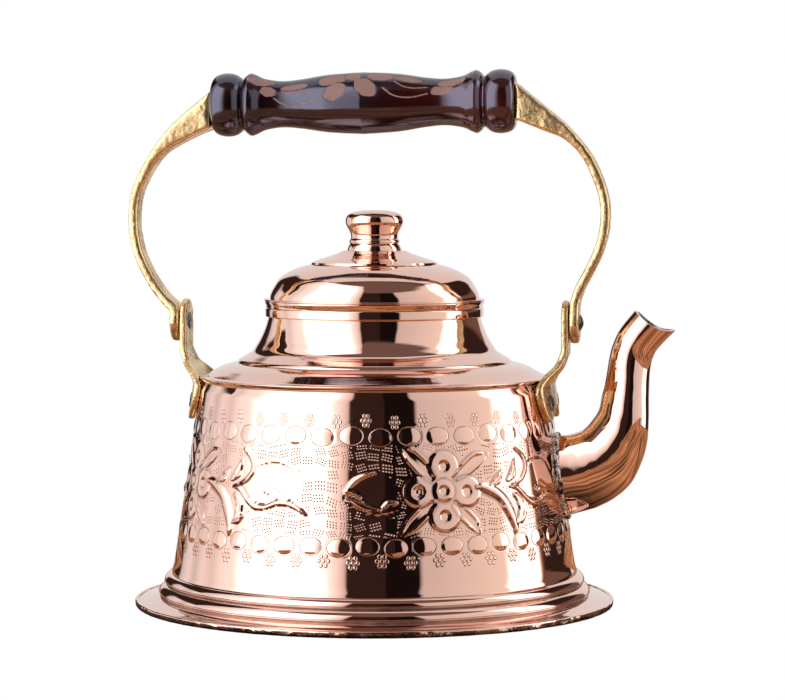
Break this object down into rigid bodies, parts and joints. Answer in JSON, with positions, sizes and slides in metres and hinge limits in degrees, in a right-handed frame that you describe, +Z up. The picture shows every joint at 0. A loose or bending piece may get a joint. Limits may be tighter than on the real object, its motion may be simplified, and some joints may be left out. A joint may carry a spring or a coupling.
{
  "type": "coffee pot",
  "caption": "Spun copper kettle-shaped coffee pot with a tapering embossed body, swan-neck spout, lift-off domed lid and swinging cast bail with a turned wooden grip.",
  "frame": {"origin": "centre of the base's flat underside, on the axis of the pot", "axes": "+Z up along the pot's axis, +X towards the spout; the bail turns about a line along X"},
  "size_m": [0.2063, 0.18, 0.2001],
  "materials": {
    "copper_embossed": "mirror-polished copper, embossed and stippled, tinned inside",
    "copper_polished": "mirror-polished copper, spun, tinned inside",
    "copper_plain": "satin copper",
    "cast_brass": "sand-cast brass, grainy, burnished on the edges",
    "rivet_metal": "tinned copper rivet, hammered",
    "solder": "dull tin solder, lumpy and smoke-stained",
    "steel_rod": "plain steel",
    "grip_wood": "turned hardwood, dark red-brown lacquer, engraved flowers"
  },
  "bodies": {
    "pot": {"body_wall": "copper_embossed", "foot_ring": "copper_polished", "base_plate": "copper_polished", "shoulder": "copper_polished", "mouth_band": "copper_polished", "spout": "copper_polished", "spout_seam": "solder", "lug_left": "cast_brass", "lug_right": "cast_brass", "lug_rivets_left": "rivet_metal", "lug_rivets_right": "rivet_metal", "rivet_washers_left": "copper_plain", "rivet_washers_right": "copper_plain", "pivot_rivet_left": "rivet_metal", "pivot_rivet_right": "rivet_metal"},
    "lid": {"lid": "copper_polished", "lid_skirt": "copper_plain", "lid_knob": "copper_polished", "knob_washer": "copper_plain"},
    "bail": {"arm_left": "cast_brass", "arm_right": "cast_brass", "wood_grip": "grip_wood", "grip_rod": "steel_rod"}
  },
  "joints": [
    {"name": "bail_swing", "type": "hinge", "parent": "pot", "child": "bail", "pos_m": [0, 0, 0.106], "axis": [1, 0, 0], "range_deg": [-105, 105]},
    {"name": "lid_lift", "type": "slide", "parent": "pot", "child": "lid", "axis": [0, 0, 1], "range_m": [0, 0.026]}
  ]
}
